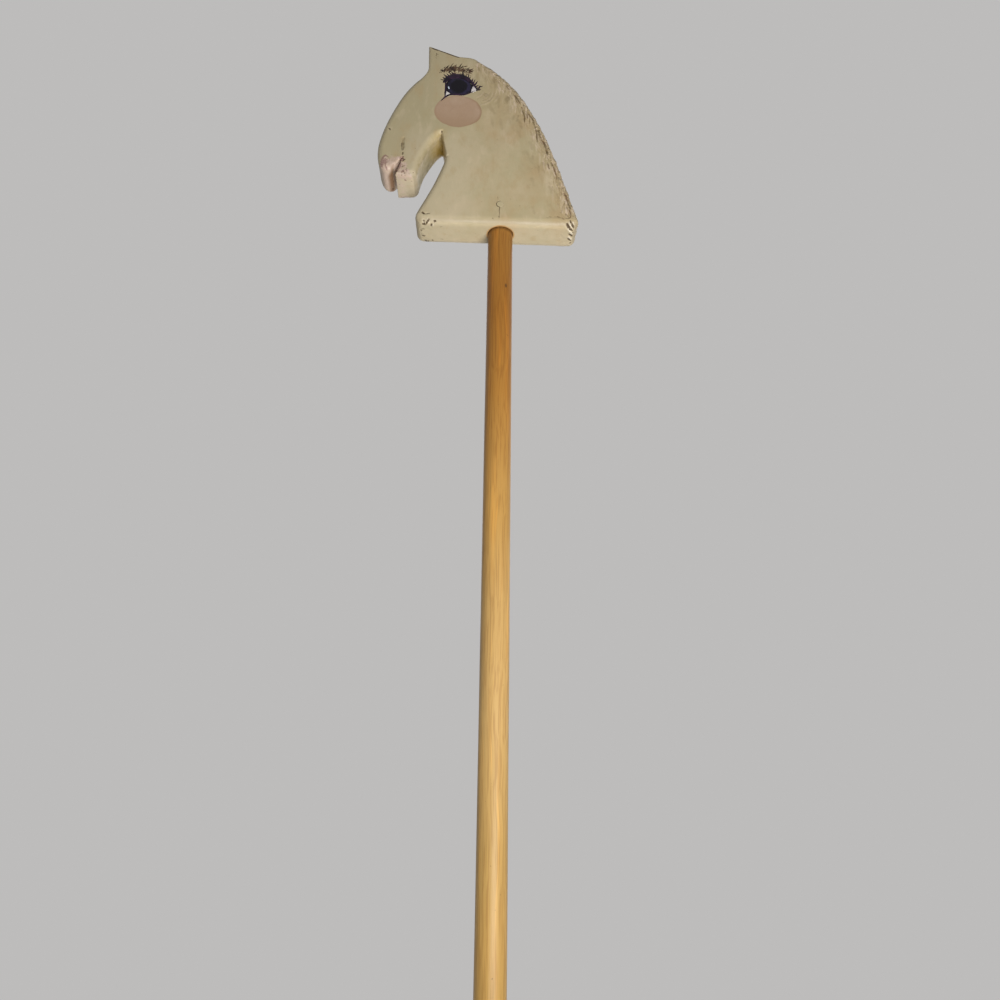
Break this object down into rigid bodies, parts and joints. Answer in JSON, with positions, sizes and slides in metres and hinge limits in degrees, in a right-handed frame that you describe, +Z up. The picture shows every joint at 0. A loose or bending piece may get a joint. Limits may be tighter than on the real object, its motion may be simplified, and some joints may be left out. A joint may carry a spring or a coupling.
{
  "type": "hobby horse",
  "caption": "Flat horse's head sawn from a wooden plank, with rounded edges and a gouged mane, on a long round wooden pole held by a hidden screw.",
  "frame": {"origin": "middle of the pole's flat lower end", "axes": "+Z up the pole to the head, -X the way the nose points, -Y out of the face that is seen first"},
  "size_m": [0.1962, 0.0358, 1.0544],
  "materials": {
    "cream_paint": "worn satin oil paint over wood",
    "amber_varnish": "satin amber varnish over straight grain",
    "zinc_steel": "zinc plated",
    "painted_filler": "matt, painted over"
  },
  "bodies": {
    "root": {"head": "cream_paint", "pole": "amber_varnish", "locking_screw": "zinc_steel", "screw_filler": "painted_filler"}
  },
  "joints": []
}
